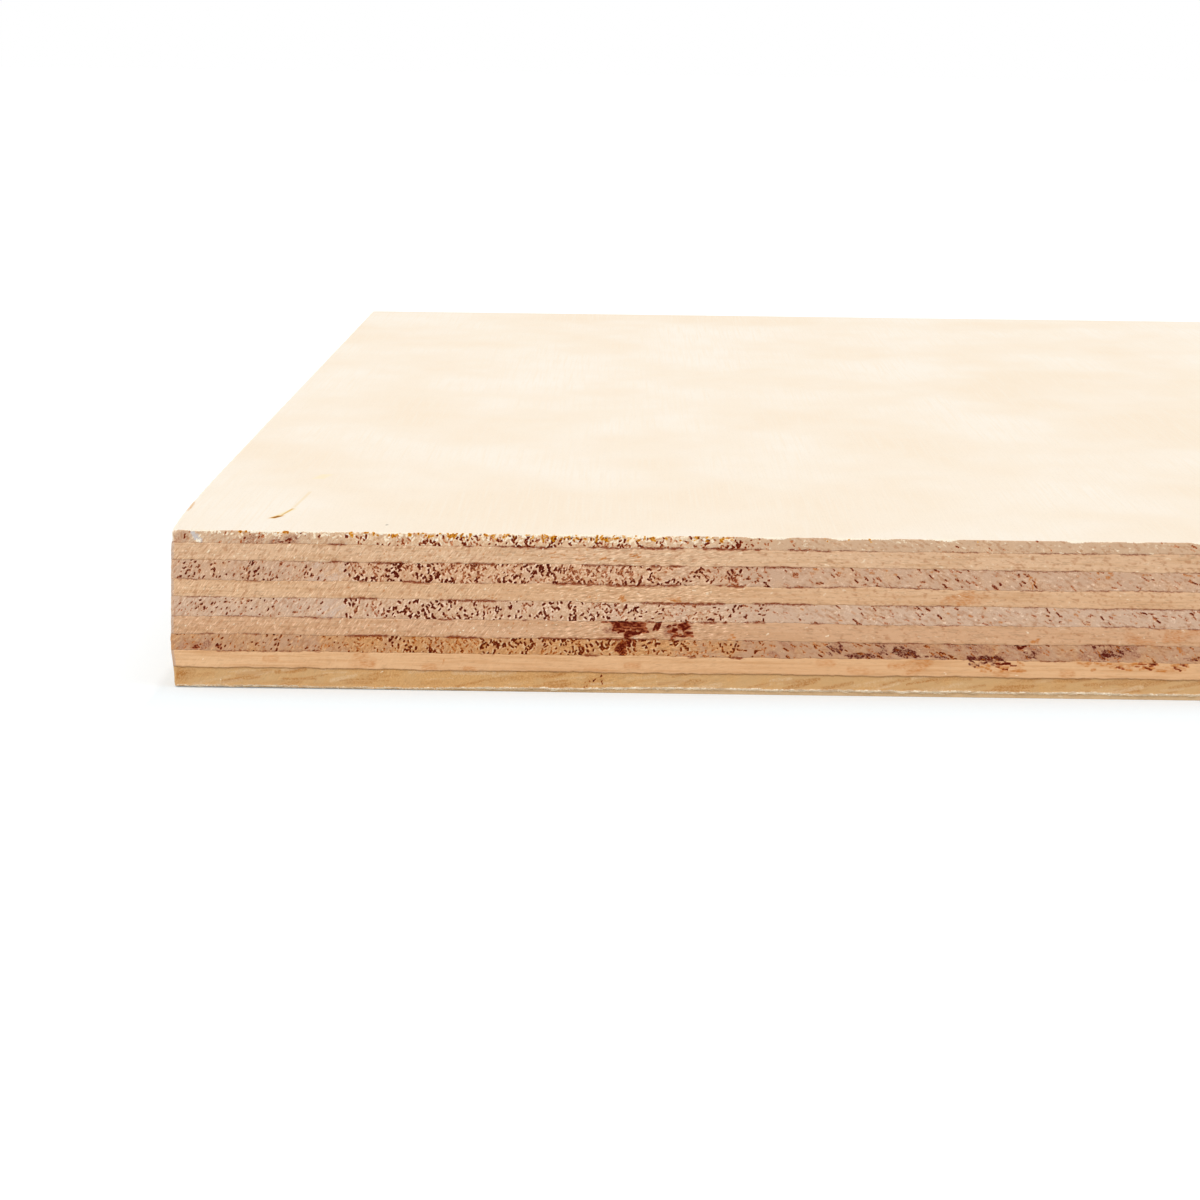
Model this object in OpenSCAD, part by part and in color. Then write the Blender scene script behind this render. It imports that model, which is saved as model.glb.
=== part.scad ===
// Plywood sheet of nine plies, lying flat with its face up, in millimetres.
// X runs across the sheet, Y along it, and Z is up from the face that it lies on.
// The grain of the odd plies runs along the sheet, and that of the even plies across it.

/* [Sheet] */
// Length of the sheet, along the grain of its face: a quarter of a full sheet's 2440
sheet_length = 610; // [200:5:3050]
// Width of the sheet: half of a full sheet's 1220
sheet_width = 610; // [200:5:1525]

/* [Ply thickness, from the top down] */
// Thickness of the face ply
face_ply_t = 1.45; // [0.6:0.05:4]
// Thickness of the cross ply under the face
cross_ply_2_t = 2; // [0.6:0.05:4]
// Thickness of the third ply
long_ply_3_t = 2.2; // [0.6:0.05:4]
// Thickness of the cross ply above the centre
cross_ply_4_t = 2; // [0.6:0.05:4]
// Thickness of the centre ply
centre_ply_5_t = 2.15; // [0.6:0.05:4]
// Thickness of the cross ply below the centre
cross_ply_6_t = 2.05; // [0.6:0.05:4]
// Thickness of the seventh ply
long_ply_7_t = 1.9; // [0.6:0.05:4]
// Thickness of the cross ply above the back
cross_ply_8_t = 1.9; // [0.6:0.05:4]
// Thickness of the back ply
back_ply_t = 2.35; // [0.6:0.05:4]

/* [Sawn edges] */
// How far the worn arris holds the face ply back from the saw cut
face_setback = 0.15; // [0:0.05:1]
// How far the inner plies with the grain along the sheet lie back from the saw cut
long_setback = 0.1; // [0:0.05:1]
// How far the chipped back ply lies back from the saw cut
back_setback = 0.4; // [0:0.05:1]
// Radius of the blunted upright corners
corner_r = 0.6; // [0.2:0.1:10]
// Radius of the face ply's corners, which are knocked more than the rest
face_corner_r = 1.8; // [0.2:0.1:10]

/* [Hidden] */
$fn = 32;

// Height of the lower face of each ply, each one resting on the ply below it
cross_ply_8_z = back_ply_t;
long_ply_7_z = cross_ply_8_z + cross_ply_8_t;
cross_ply_6_z = long_ply_7_z + long_ply_7_t;
centre_ply_5_z = cross_ply_6_z + cross_ply_6_t;
cross_ply_4_z = centre_ply_5_z + centre_ply_5_t;
long_ply_3_z = cross_ply_4_z + cross_ply_4_t;
cross_ply_2_z = long_ply_3_z + long_ply_3_t;
face_ply_z = cross_ply_2_z + cross_ply_2_t;

// Outline of one ply: the saw cut's rectangle, set back all round, with blunted corners
module ply_outline(setback, radius) {
    w = sheet_width - 2 * setback;
    l = sheet_length - 2 * setback;
    square([w - 2 * radius, l], center = true);
    square([w, l - 2 * radius], center = true);
    for (side = [-1, 1], end = [-1, 1])
        translate([side * (w / 2 - radius), end * (l / 2 - radius)])
            circle(r = radius);
}

// One ply: its outline raised through its thickness
module ply(z, thickness, setback = 0, radius = corner_r) {
    translate([0, 0, z])
        linear_extrude(height = thickness)
            ply_outline(setback, radius);
}

module face_ply() {
    color([0.98, 0.92, 0.82]) ply(face_ply_z, face_ply_t, face_setback, face_corner_r);
}

module cross_ply_2() {
    color([0.84, 0.69, 0.55]) ply(cross_ply_2_z, cross_ply_2_t);
}

module long_ply_3() {
    color([0.77, 0.6, 0.48]) ply(long_ply_3_z, long_ply_3_t, long_setback);
}

module cross_ply_4() {
    color([0.84, 0.67, 0.51]) ply(cross_ply_4_z, cross_ply_4_t);
}

module centre_ply_5() {
    color([0.78, 0.63, 0.51]) ply(centre_ply_5_z, centre_ply_5_t, long_setback);
}

module cross_ply_6() {
    color([0.81, 0.64, 0.49]) ply(cross_ply_6_z, cross_ply_6_t);
}

module long_ply_7() {
    color([0.72, 0.52, 0.37]) ply(long_ply_7_z, long_ply_7_t, long_setback);
}

module cross_ply_8() {
    color([0.85, 0.66, 0.47]) ply(cross_ply_8_z, cross_ply_8_t);
}

module back_ply() {
    color([0.8, 0.62, 0.42]) ply(0, back_ply_t, back_setback);
}

face_ply();
cross_ply_2();
long_ply_3();
cross_ply_4();
centre_ply_5();
cross_ply_6();
long_ply_7();
cross_ply_8();
back_ply();
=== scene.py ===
# %% [markdown]
# A sheet of plywood at its sawn edge.
# Plywood is a stack of thin veneers, glued so that the grain of each one crosses the grain of the
# next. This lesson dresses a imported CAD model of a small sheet: nine plies that lie flat, pale face
# up. The CAD model gives every ply its size and place, and Blender gives the sawn edge its pores,
# torn fibres and stains, and the face its figure.

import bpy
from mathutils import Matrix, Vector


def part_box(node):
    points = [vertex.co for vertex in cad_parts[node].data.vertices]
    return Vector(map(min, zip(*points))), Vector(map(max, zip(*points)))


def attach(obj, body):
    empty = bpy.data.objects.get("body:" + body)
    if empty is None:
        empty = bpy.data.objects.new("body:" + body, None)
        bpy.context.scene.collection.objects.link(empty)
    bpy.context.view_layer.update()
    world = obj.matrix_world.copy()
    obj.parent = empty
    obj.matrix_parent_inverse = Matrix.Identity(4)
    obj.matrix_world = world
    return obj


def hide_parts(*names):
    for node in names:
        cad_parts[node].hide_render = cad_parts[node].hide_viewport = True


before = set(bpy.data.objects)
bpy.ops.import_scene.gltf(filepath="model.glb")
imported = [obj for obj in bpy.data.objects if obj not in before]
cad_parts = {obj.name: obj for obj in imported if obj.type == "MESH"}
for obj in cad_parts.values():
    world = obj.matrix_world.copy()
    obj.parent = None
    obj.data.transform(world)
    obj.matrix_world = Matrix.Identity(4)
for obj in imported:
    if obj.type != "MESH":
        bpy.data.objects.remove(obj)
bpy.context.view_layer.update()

# %% [markdown]
# The frame knows where each ply lies, so nothing is measured twice. Shapes are worked out in
# millimetres, because a pore of 0.3 is easier to read than one of 0.0003, and they are turned into
# metres when they go into a mesh. The grain of the odd plies runs along the sheet, so the saw cuts
# across their fibres at the near end, and the grain of the even plies runs across the sheet.

# %% Measure the plies
import math

import bpy
import numpy as np
from mathutils import Matrix

MM = 0.001
PLIES = ["face_ply", "cross_ply_2", "long_ply_3", "cross_ply_4", "centre_ply_5",
         "cross_ply_6", "long_ply_7", "cross_ply_8", "back_ply"]
GRAIN = {name: "YX"[number % 2] for number, name in enumerate(PLIES)}
ply_box = {name: np.array([list(corner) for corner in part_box(name)]) / MM for name in PLIES}
half_width, half_length = np.max([box[1, :2] for box in ply_box.values()], axis=0)
perimeter = 4 * (half_width + half_length)
for name in PLIES:
    print(f"{name}: {np.ptp(ply_box[name], axis=0).round(2)} mm, grain along {GRAIN[name]}")

# %% [markdown]
# Every rough thing on the edge comes from one kind of noise. Random values sit on a lattice, and
# between lattice points they are blended smoothly. Blender has noise textures, but a mesh needs the
# same numbers for its shape and its colour, so the noise is made here, from whole arrays. The
# lattice is in space and not along the edge, so that it runs round a corner without a seam.

# %% Noise on a lattice
KEY_STEPS = np.array([374761393, 668265263, 1442695041])     # large odd numbers scatter the keys
KEY_SEED = 974711
KEY_SPREAD = 1274126177


def smooth(value, low, high):
    """Rises from 0 at low to 1 at high along the curve 3t^2 - 2t^3."""
    t = np.clip((value - low) / (high - low), 0, 1)
    return t * t * (3 - 2 * t)


def lattice_noise(points, cell, seed):
    """Noise from -1 to 1 at points (..., 3): the random values at the eight lattice points round
    each point, weighted by a smooth step of how near each of them is along every axis."""
    scaled = np.asarray(points) / cell
    base = np.floor(scaled).astype(np.int64)
    share = smooth(scaled - base, 0, 1)
    total = np.zeros(scaled.shape[:-1])
    for corner in np.ndindex(2, 2, 2):
        key = (base + corner) @ KEY_STEPS + seed * KEY_SEED
        key = (key ^ (key >> 13)) * KEY_SPREAD
        value = ((key ^ (key >> 16)) & 0xFFFF) / 32767.5 - 1
        total += value * np.prod(np.where(corner, share, 1 - share), axis=-1)
    return total


def layered_noise(points, layers):
    """Sum of noises, each given by its height, its cell and its seed."""
    return sum(height * lattice_noise(points, cell, seed) for height, cell, seed in layers)


print("noise at three points:", lattice_noise(np.eye(3) * 7.3, 2.0, seed=1).round(3))

# %% [markdown]
# A ply is a profile carried round the sheet. The path starts at the left corner of the near end and
# runs along that end, the right side, the far end and the left side. The stretch that is seen from
# close by needs a column of points about every tenth of a millimetre, and the rest does not, so the
# columns are spread by density: where the wanted gap is small, a stretch gets more of them.

# %% The path round the sheet
SHOWN = 121.0           # length of the near end that is seen from close by
CORNER_SHOWN = 10.0     # length of the left side that belongs to the same corner
FINE_GAP = 0.085
COARSE_GAP = 4.0
GAP_GROWTH = 0.05       # how much wider the gap gets with each millimetre beyond the shown stretch
CORNER_GAP = 0.22
CORNER_GROWTH = 0.3     # the same with each millimetre from a corner
side_ends = np.cumsum([0, 2 * half_width, 2 * half_length, 2 * half_width, 2 * half_length])
corner_x = np.array([-1, 1, 1, -1, -1]) * half_width
corner_y = np.array([-1, -1, 1, 1, -1]) * half_length


def column_gap(distance):
    """Gap wanted between columns: fine in the shown stretch, wider with the distance from it up to
    the coarse gap, and narrow again close to each corner."""
    outside = np.minimum(distance - SHOWN, perimeter - CORNER_SHOWN - distance).clip(0)
    gap = np.minimum(FINE_GAP + GAP_GROWTH * outside, COARSE_GAP)
    from_corner = np.abs(distance[:, None] - side_ends).min(axis=1)
    return np.minimum(gap, CORNER_GAP + CORNER_GROWTH * from_corner)


def spread_columns(gap_at, trials=200001):
    """Distances round the closed path with equal shares of the density 1 / gap between them."""
    trial = np.linspace(0, perimeter, trials)
    density = 1 / gap_at(trial)
    counted = np.append(0, np.cumsum((density[1:] + density[:-1]) / 2 * np.diff(trial)))
    number = int(round(counted[-1]))
    return np.interp(np.arange(number) * counted[-1] / number, counted, trial)


def sheet_outline(distance, setback, radius):
    """Points and outward directions on a rectangle with round corners: each point of the sharp
    rectangle is pulled to the nearest point of an inner one, then pushed out by the radius."""
    sharp = np.column_stack([np.interp(distance, side_ends, corner_x),
                             np.interp(distance, side_ends, corner_y)])
    inner = np.array([half_width, half_length]) - setback - radius
    core = np.clip(sharp, -inner, inner)
    outward = (sharp - core) / np.linalg.norm(sharp - core, axis=1, keepdims=True)
    return core + radius * outward, outward


print("the path is", float(perimeter), "mm long")

# %% [markdown]
# Now the columns are set. Each of them knows whether it lies in the shown stretch, whether it lies on
# one of the two ends, and how far the worn corner draws it in: the left side has lost a little towards
# the near corner.

# %% The columns of points
PLAIN_RUN = 6.0         # over which the marks of the shown stretch fade out
CORNER_LOST = 0.72      # what the left side has lost at the corner
CORNER_RUN = 32.0       # how far along the left side that is felt
END_HASTE = 4           # how much sooner it ends along the near end
columns = spread_columns(column_gap)
shown = int(np.searchsorted(columns, SHOWN))
plain = smooth(np.minimum(columns - SHOWN, perimeter - columns), 0, PLAIN_RUN)
near_end = columns < side_ends[1]
cross_cut = near_end | ((columns > side_ends[2]) & (columns < side_ends[3]))
sharp_points = sheet_outline(columns, setback=0, radius=0.01)[0]
from_corner = np.where(near_end, END_HASTE * columns, perimeter - columns)
corner_wear = CORNER_LOST * np.exp(-from_corner / CORNER_RUN)
print(len(columns), "columns round the sheet,", shown, "of them in the shown stretch")

# %% [markdown]
# The line between two plies is never quite straight: veneers differ in thickness, and glue squeezes
# into the open grain. Both neighbours of a glue line read the same two functions, the rise of the
# line and the strength of its dark dashes, so they stay in touch and darken together.

# %% The glue lines
LAYER_APART = 57.0      # distance in height between the noises of two layers
# Height, cell and seed of each wave of a glue line, and of its ragged tear in the shown stretch
LINE_WAVES = [(0.09, 9.0, 11), (0.07, 1.9, 12)]
LINE_TEAR = [(0.04, 0.5, 13)]
# The same for its dark dashes, and how readily each line shows them: line 1 lies under the face
DASH_WAVES = [(1.0, 2.4, 22), (0.4, 14.0, 21), (0.35, 0.6, 23)]
DASH_BIAS = [0.0, 0.12, 0.08, 0.34, 0.06, 0.08, 0.14, -0.12, -0.7]
DASH_LIMITS = (0.05, 0.55)
DASH_RISE = (12, 24)    # where along the edge the dashes come to their full strength
DASH_FALL = (62, 80)    # where they fall to half of it again


def along_edge(layer):
    """Points of the path in space, with the layer's number far apart in height, for noise."""
    return np.column_stack([sharp_points, np.full(len(columns), LAYER_APART * layer)])


def edge_noise(cell, seed):
    """Noise along the edge, on a layer of its own."""
    return lattice_noise(along_edge(seed), cell, seed)


def line_rise(layer):
    """Height of a glue line above its true place: a slow wave, a quick one and a ragged one."""
    points = along_edge(layer)
    return layered_noise(points, LINE_WAVES) + layered_noise(points, LINE_TEAR) * (1 - plain)


def line_dash(layer):
    """Strength of a glue line's dark dashes, from 0 to 1, where a noise is above a threshold."""
    strength = smooth(layered_noise(along_edge(layer), DASH_WAVES) + DASH_BIAS[layer], *DASH_LIMITS)
    return strength * (0.5 + 0.5 * smooth(columns, *DASH_RISE)) * (1 - 0.5 * smooth(columns, *DASH_FALL))


dashed = [round(float(line_dash(layer)[:shown].mean()), 2) for layer in range(1, 9)]
print("dashed share of each glue line:", dashed)

# %% [markdown]
# A saw leaves its own fine texture: fibres dragged into short slanted ridges. Near the corner they
# lean to the right, further on they lie almost level, and at the far end of the view they lean to
# the left. One noise, drawn out along a slant, makes each of the three, and they are blended along
# the edge.

# %% Saw marks
SAW_LONG = 0.42
SAW_SHORT = 0.17
SAW_SLANTS = (52, 10, -24)            # near the corner, in the middle and beyond
SAW_STEPS = ((34, 50), (58, 76))      # where one slant gives way to the next
SAW_SEEDS = (0, 2, 1)


def slanted_noise(along, height, slant, seed):
    """Noise drawn out along a slant: lattice noise on axes turned by the slant, with long cells
    along it and short cells across it."""
    turn = math.radians(slant)
    forward = (along * math.cos(turn) + height * math.sin(turn)) / SAW_LONG
    sideways = (height * math.cos(turn) - along * math.sin(turn)) / SAW_SHORT
    return lattice_noise(np.stack([forward, sideways, np.zeros_like(forward)], axis=-1), 1.0, seed)


def saw_marks(heights, seed):
    """Ridges and hollows of the saw, from -1 to 1: three slants, each weighted by its stretch."""
    along, height = np.meshgrid(columns, heights)
    middle, beyond = [smooth(along, *step) for step in SAW_STEPS]
    shares = (1 - middle, middle - beyond, beyond)
    marks = [slanted_noise(along, height, slant, seed + own) for slant, own in zip(SAW_SLANTS, SAW_SEEDS)]
    return sum(share * mark for share, mark in zip(shares, marks)) * (1 - plain)


print("deepest saw mark:", saw_marks(np.array([0.0, 1.0]), 3).min().round(2))

# %% [markdown]
# Cut across the grain, wood shows its pores as pits, and the saw drags them into short slanted
# strokes. The same strokes, paler or darker, make raised fibre ends, resin stains and torn spots. So
# one function draws them all: it takes a list of strokes and gives the strongest one at each point.

# %% Strokes on the edge
def scatter(random, number, **limits):
    """A number of strokes, each measure drawn evenly between its two limits."""
    return {key: random.uniform(low, high, number) for key, (low, high) in limits.items()}


def stroke_field(places, heights, strokes):
    """Strength of the strongest stroke at each (height, place). A stroke is a line with round ends:
    its strength is full on the line and falls to 0 at its width from it."""
    reach = math.ceil((strokes["length"].max() / 2 + strokes["width"].max()) / FINE_GAP)
    near = np.searchsorted(places, strokes["along"])
    at = np.clip(near[:, None] + np.arange(-reach, reach + 1), 0, len(places) - 1)
    du = (places[at] - strokes["along"][:, None])[:, None, :]
    dh = (heights[None, :] - strokes["height"][:, None])[:, :, None]
    turn = np.radians(strokes["slant"])[:, None, None]
    forward = du * np.cos(turn) + dh * np.sin(turn)
    sideways = dh * np.cos(turn) - du * np.sin(turn)
    beyond = (np.abs(forward) - strokes["length"][:, None, None] / 2).clip(0)
    distance = np.hypot(beyond, sideways) / strokes["width"][:, None, None]
    strength = strokes["strength"][:, None, None] * (1 - smooth(distance, 0.4, 1.0))
    field = np.zeros((len(heights), len(places)))
    rows = np.broadcast_to(np.arange(len(heights))[None, :, None], strength.shape)
    np.maximum.at(field, (rows, np.broadcast_to(at[:, None, :], strength.shape)), strength)
    return field


def draw(field, heights, strokes):
    """Adds strokes to the shown stretch of a field, in place, where they are stronger than it."""
    stretch = field[:, :shown]
    from_worn_corner = (columns + corner_wear)[:shown] - CORNER_LOST
    np.maximum(stretch, stroke_field(from_worn_corner, heights, strokes), out=stretch)


tried = scatter(np.random.default_rng(1), 1, along=(5, 5), height=(1, 1), slant=(45, 45),
                length=(0.5, 0.5), width=(0.15, 0.15), strength=(1, 1))
tried = stroke_field(columns[:shown], np.linspace(0, 2, 21), tried)
print("a stroke of half a millimetre covers", np.count_nonzero(tried), "points")

# %% [markdown]
# The strokes change along the edge. Near the corner the saw left them leaning one way, in the middle
# the veneer is coarse and full of pores, and further on the blade leaned the other way and the pores
# thin out. A zone holds that: where it lies, and how its strokes lie in it. Pores stand in clusters,
# and each has a pale lip on one side: fibres that stand up a little, with a painted highlight where
# light would catch the rim of the pit.

# %% Zones of pores and fibre ends
ZONE_MEASURES = ["along", "slant", "length", "width", "strength"]
# Limits of these measures in each zone
PORE_ZONES = [
    ((0.3, 17.6), (20, 80), (0.0, 0.30), (0.09, 0.15), (0.3, 0.95)),
    ((19.8, 28), (30, 150), (0.0, 0.32), (0.11, 0.19), (0.75, 1.0)),
    ((28, 53), (30, 150), (0.0, 0.34), (0.11, 0.19), (0.75, 1.0)),
    ((53, 68), (-60, 110), (0.0, 0.35), (0.11, 0.18), (0.5, 1.0)),
    ((68, 121), (-52, -8), (0.1, 0.60), (0.09, 0.16), (0.25, 0.72)),
]
FLECK_ZONES = [
    ((0.3, 45), (20, 75), (0.05, 0.30), (0.09, 0.15), (0.1, 0.55)),
    ((45, 75), (-25, 45), (0.05, 0.40), (0.09, 0.14), (0.1, 0.55)),
    ((75, 121), (-40, 5), (0.05, 0.45), (0.09, 0.14), (0.15, 0.55)),
]
# Strokes to a square millimetre in each zone
PORES = {"face_ply": (1.4, 2.2, 5.2, 3.8, 0.5), "long_ply_3": (4.2, 6.6, 7.2, 4.4, 1.5),
         "centre_ply_5": (2.6, 3.4, 4.0, 3.0, 1.3), "long_ply_7": (2.8, 4.2, 5.6, 3.8, 1.6)}
FLECKS = {"face_ply": (1.6, 2.6, 1.4), "cross_ply_2": (0.9, 0.8, 0.1), "long_ply_3": (1.2, 1.8, 1.2),
          "cross_ply_4": (0.6, 0.5, 0.1), "centre_ply_5": (1.2, 1.8, 1.2),
          "cross_ply_6": (0.4, 0.3, 0.1), "long_ply_7": (0.8, 1.0, 0.6),
          "cross_ply_8": (0.05, 0.05, 0.05), "back_ply": (0.1, 0.05, 0.05)}
print("most pores to a square millimetre:", max(map(max, PORES.values())))

# %% [markdown]
# Drawing a zone means scattering its strokes evenly and then making them uneven again, as wood is. A
# slow noise weakens the pores between clusters, and a copy of each pore, moved sideways by its width,
# becomes its pale lip: raised fibres with a painted highlight on them.

# %% Scatter the zones
CLUSTER = 1.5           # size of a cluster of pores
CLUSTER_LIMITS = (-0.35, 0.2)
PORE_LIP_GAP = 0.03
PORE_LIP_WIDTH = 0.13
COARSE_FROM = (19, 21)  # where the coarse stretch, with its strong lips, begins
COARSE_TO = (52, 66)


def zone_strokes(random, zones, counts, thickness):
    """Strokes of all zones over a ply's thickness, as one list."""
    parts = []
    for zone, count in zip(zones, counts):
        number = int(count * (zone[0][1] - zone[0][0]) * thickness)
        parts.append(scatter(random, number, height=(0, thickness), **dict(zip(ZONE_MEASURES, zone))))
    return {key: np.concatenate([part[key] for part in parts]) for key in parts[0]}


def gather(strokes, seed):
    """Weakens the strokes that lie between clusters, by a noise over the edge."""
    place = np.column_stack([strokes["along"], strokes["height"], np.zeros(len(strokes["along"]))])
    kept = smooth(lattice_noise(place, CLUSTER, seed), *CLUSTER_LIMITS)
    return {**strokes, "strength": strokes["strength"] * (0.5 + 0.5 * kept)}


def pale_lip_highlights(strokes):
    """A thin pale stroke beside each one, raised fibres and a painted highlight: moved across its slant
    by its width, to one side or the other.
    """
    turn = np.radians(strokes["slant"])
    side = np.where(np.arange(len(turn)) % 3, 1, -1) * (strokes["width"] + PORE_LIP_GAP)
    along = strokes["along"] - side * np.sin(turn)
    height = strokes["height"] + side * np.cos(turn)
    coarse = smooth(along, *COARSE_FROM) * (1 - smooth(along, *COARSE_TO))
    strength = strokes["strength"] * (0.4 + 0.6 * coarse)
    return {**strokes, "along": along, "height": height, "strength": strength,
            "width": np.full(len(turn), PORE_LIP_WIDTH)}


tried = zone_strokes(np.random.default_rng(1), PORE_ZONES, PORES["face_ply"], thickness=1.0)
print("a strip of the face ply, 1 mm high, has", len(tried["along"]), "pores")

# %% [markdown]
# Other marks are painted with brushes. A brush says how long, wide and strong its strokes are: bold
# ones for a dark patch, fine ones for its ragged rim, a haze for a tint that has no rim at all.

# %% Brushes
# The shade mark is painted shade in the saw's hollows. The flecks are pale fibre ends, and some of them are
# painted highlights on the saw's crests and beside the pores.
MARKS = ["pore", "fleck_and_highlight", "shade", "glue", "stain", "plum", "rust", "gold", "smear_and_painted_light", "bare", "plain"]
# Limits of length, width and strength
BRUSHES = {
    "bold": ((0.25, 0.8), (0.20, 0.34), (0.7, 1.0)),
    "fine": ((0.10, 0.45), (0.11, 0.18), (0.5, 1.0)),
    "dash": ((0.3, 0.9), (0.10, 0.15), (0.4, 0.9)),
    "spot": ((0.05, 0.25), (0.10, 0.16), (0.6, 1.0)),
    "crumb": ((0.0, 0.45), (0.08, 0.20), (0.15, 1.0)),
    "speck": ((0.0, 0.12), (0.09, 0.13), (0.3, 0.8)),
    "faint": ((0.7, 1.6), (0.4, 0.8), (0.2, 0.5)),
    "haze": ((0.6, 2.4), (0.25, 0.75), (0.1, 0.45)),
    "streak": ((1.5, 5.0), (0.15, 0.40), (0.2, 0.55)),
    "blot": ((0.3, 0.9), (0.32, 0.55), (0.45, 0.8)),
    "swipe": ((0.3, 0.9), (0.16, 0.25), (0.4, 0.9)),
}
print(len(MARKS), "kinds of marks and", len(BRUSHES), "brushes")

# %% [markdown]
# Some marks are this sheet's own. Each is a cloud of strokes in a small window of the edge, given from
# the left corner and as shares of the ply's thickness, bottom to top. On the face ply they are golden
# fibres torn up along the arris, with pale ones between them, and a grey smear at the corner.

# %% Torn fibres on the face ply
# Mark, window along the edge, window in height, number, slant, brush
STAINS = {}
STAINS["face_ply"] = [
    ("gold", (7.8, 8.8), (0.86, 1.0), 4, (0, 90), "spot"),
    ("gold", (12.0, 13.6), (0.84, 1.0), 7, (-20, 30), "spot"),
    ("gold", (19.8, 32.5), (0.66, 1.0), 32, (-30, 120), "spot"),
    ("gold", (31, 64), (0.56, 1.0), 100, (-40, 140), "crumb"),
    ("gold", (64, 92), (0.70, 0.95), 9, (-40, 40), "speck"),
    ("fleck_and_highlight", (3, 20), (0.50, 1.0), 30, (-40, 140), "fine"),
    ("fleck_and_highlight", (24, 64), (0.45, 1.0), 150, (-40, 140), "fine"),
    ("bare", (20, 64), (0.45, 1.0), 85, (-40, 140), "spot"),
    ("bare", (4, 20), (0.70, 1.0), 14, (-40, 140), "spot"),
    ("plum", (8, 15), (0.0, 0.45), 9, (-10, 30), "faint"),
    ("stain", (11.6, 14.4), (0.10, 0.4), 7, (-15, 15), "spot"),
    ("smear_and_painted_light", (2.15, 2.6), (0.70, 1.0), 11, (-75, -55), "fine"),
    ("smear_and_painted_light", (2.45, 2.95), (0.40, 0.75), 7, (-65, -50), "swipe"),
    ("smear_and_painted_light", (2.8, 3.35), (0.20, 0.45), 7, (-60, -45), "swipe"),
    ("bare", (2.95, 3.4), (0.10, 0.30), 5, (-55, -40), "spot"),
    # The plum haze right at the worn corner is painted shade on the rounded corner.
    ("plum", (0.2, 1.5), (0.1, 0.7), 5, (-10, 30), "haze"),
]
print(len(STAINS["face_ply"]), "clouds of strokes")

# %% [markdown]
# The plies under the face are clean but for rusty specks, a few dark spots and a pale smear where the
# coarse stretch begins. They are thinly spread, so a few windows hold them.

# %% Specks on the upper plies
STAINS["cross_ply_2"] = [
    ("rust", (42.5, 53.5), (0.15, 0.7), 16, (-15, 30), "dash"),
    ("rust", (24, 50), (0.1, 0.9), 60, (-10, 40), "speck"),
]
STAINS["long_ply_3"] = [
    ("stain", (63.3, 64.2), (0.25, 0.90), 8, (95, 150), "fine"),
    ("stain", (93.4, 94.3), (0.05, 0.35), 5, (-50, -30), "fine"),
    ("smear_and_painted_light", (16.6, 20.0), (0.05, 0.95), 8, (20, 60), "faint"),
    ("rust", (97.5, 98.3), (0.15, 0.65), 6, (60, 110), "fine"),
    ("rust", (70, 121), (0.60, 1.0), 34, (-30, 0), "fine"),
]
STAINS["cross_ply_4"] = [
    ("rust", (88.2, 92.3), (0.25, 0.8), 16, (10, 20), "faint"),
    ("rust", (50.3, 51.6), (0.1, 0.4), 6, (10, 40), "fine"),
    ("rust", (56.4, 57.8), (0.1, 0.4), 7, (-20, 20), "dash"),
    ("rust", (20, 50), (0.1, 0.9), 40, (-10, 40), "speck"),
]
STAINS["centre_ply_5"] = [
    ("smear_and_painted_light", (16.8, 19.6), (0.05, 0.95), 7, (20, 60), "faint"),
    ("rust", (70, 121), (0.1, 0.95), 26, (-40, -5), "fine"),
]
print(sum(map(len, STAINS.values())), "clouds of strokes so far")

# %% [markdown]
# The sixth ply has two dark patches, red-brown and a little sunken. Blots make the body of each patch,
# swipes its ragged rim, and a faint plum stain lies round it.

# %% Dark patches on the sixth ply
STAINS["cross_ply_6"] = [
    ("stain", (50.6, 51.9), (0.50, 0.95), 5, (-35, 35), "blot"),
    ("stain", (52.0, 53.8), (0.62, 0.97), 6, (-35, 35), "blot"),
    ("stain", (50.4, 54.1), (0.35, 0.97), 18, (-40, 60), "swipe"),
    ("plum", (50.2, 54.3), (0.45, 1.0), 9, (-10, 10), "faint"),
    ("stain", (51.6, 52.5), (0.0, 0.5), 4, (50, 110), "blot"),
    ("stain", (52.4, 53.6), (0.25, 0.5), 5, (10, 40), "swipe"),
    ("stain", (49.0, 50.5), (0.92, 0.99), 7, (-4, 4), "fine"),
    ("stain", (55.0, 55.8), (0.66, 1.0), 6, (30, 70), "swipe"),
    ("stain", (57.5, 58.7), (0.40, 0.80), 4, (-30, 50), "blot"),
    ("stain", (57.0, 59.2), (0.20, 0.95), 10, (-20, 50), "swipe"),
    ("plum", (56.8, 59.0), (0.3, 0.95), 6, (-20, 20), "faint"),
    ("stain", (55.9, 59.2), (0.72, 0.95), 10, (-10, 10), "fine"),
    ("rust", (63.4, 64.2), (0.05, 0.35), 8, (-20, 40), "fine"),
    ("rust", (97.8, 98.8), (0.1, 0.4), 7, (-20, 20), "fine"),
    ("rust", (109.4, 111.3), (0.05, 0.5), 9, (-30, 10), "faint"),
    ("rust", (113.5, 117.0), (0.35, 0.9), 7, (0, 25), "faint"),
    ("rust", (20, 49), (0.1, 0.9), 40, (10, 60), "speck"),
    ("fleck_and_highlight", (20, 49), (0.1, 0.9), 34, (20, 60), "speck"),
]
print(len(STAINS["cross_ply_6"]), "clouds of strokes")

# %% [markdown]
# On the seventh ply plum smudges follow each other along the edge. Bold strokes are their middles, fine
# ones the pores around them, and a haze ties them together.

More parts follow.
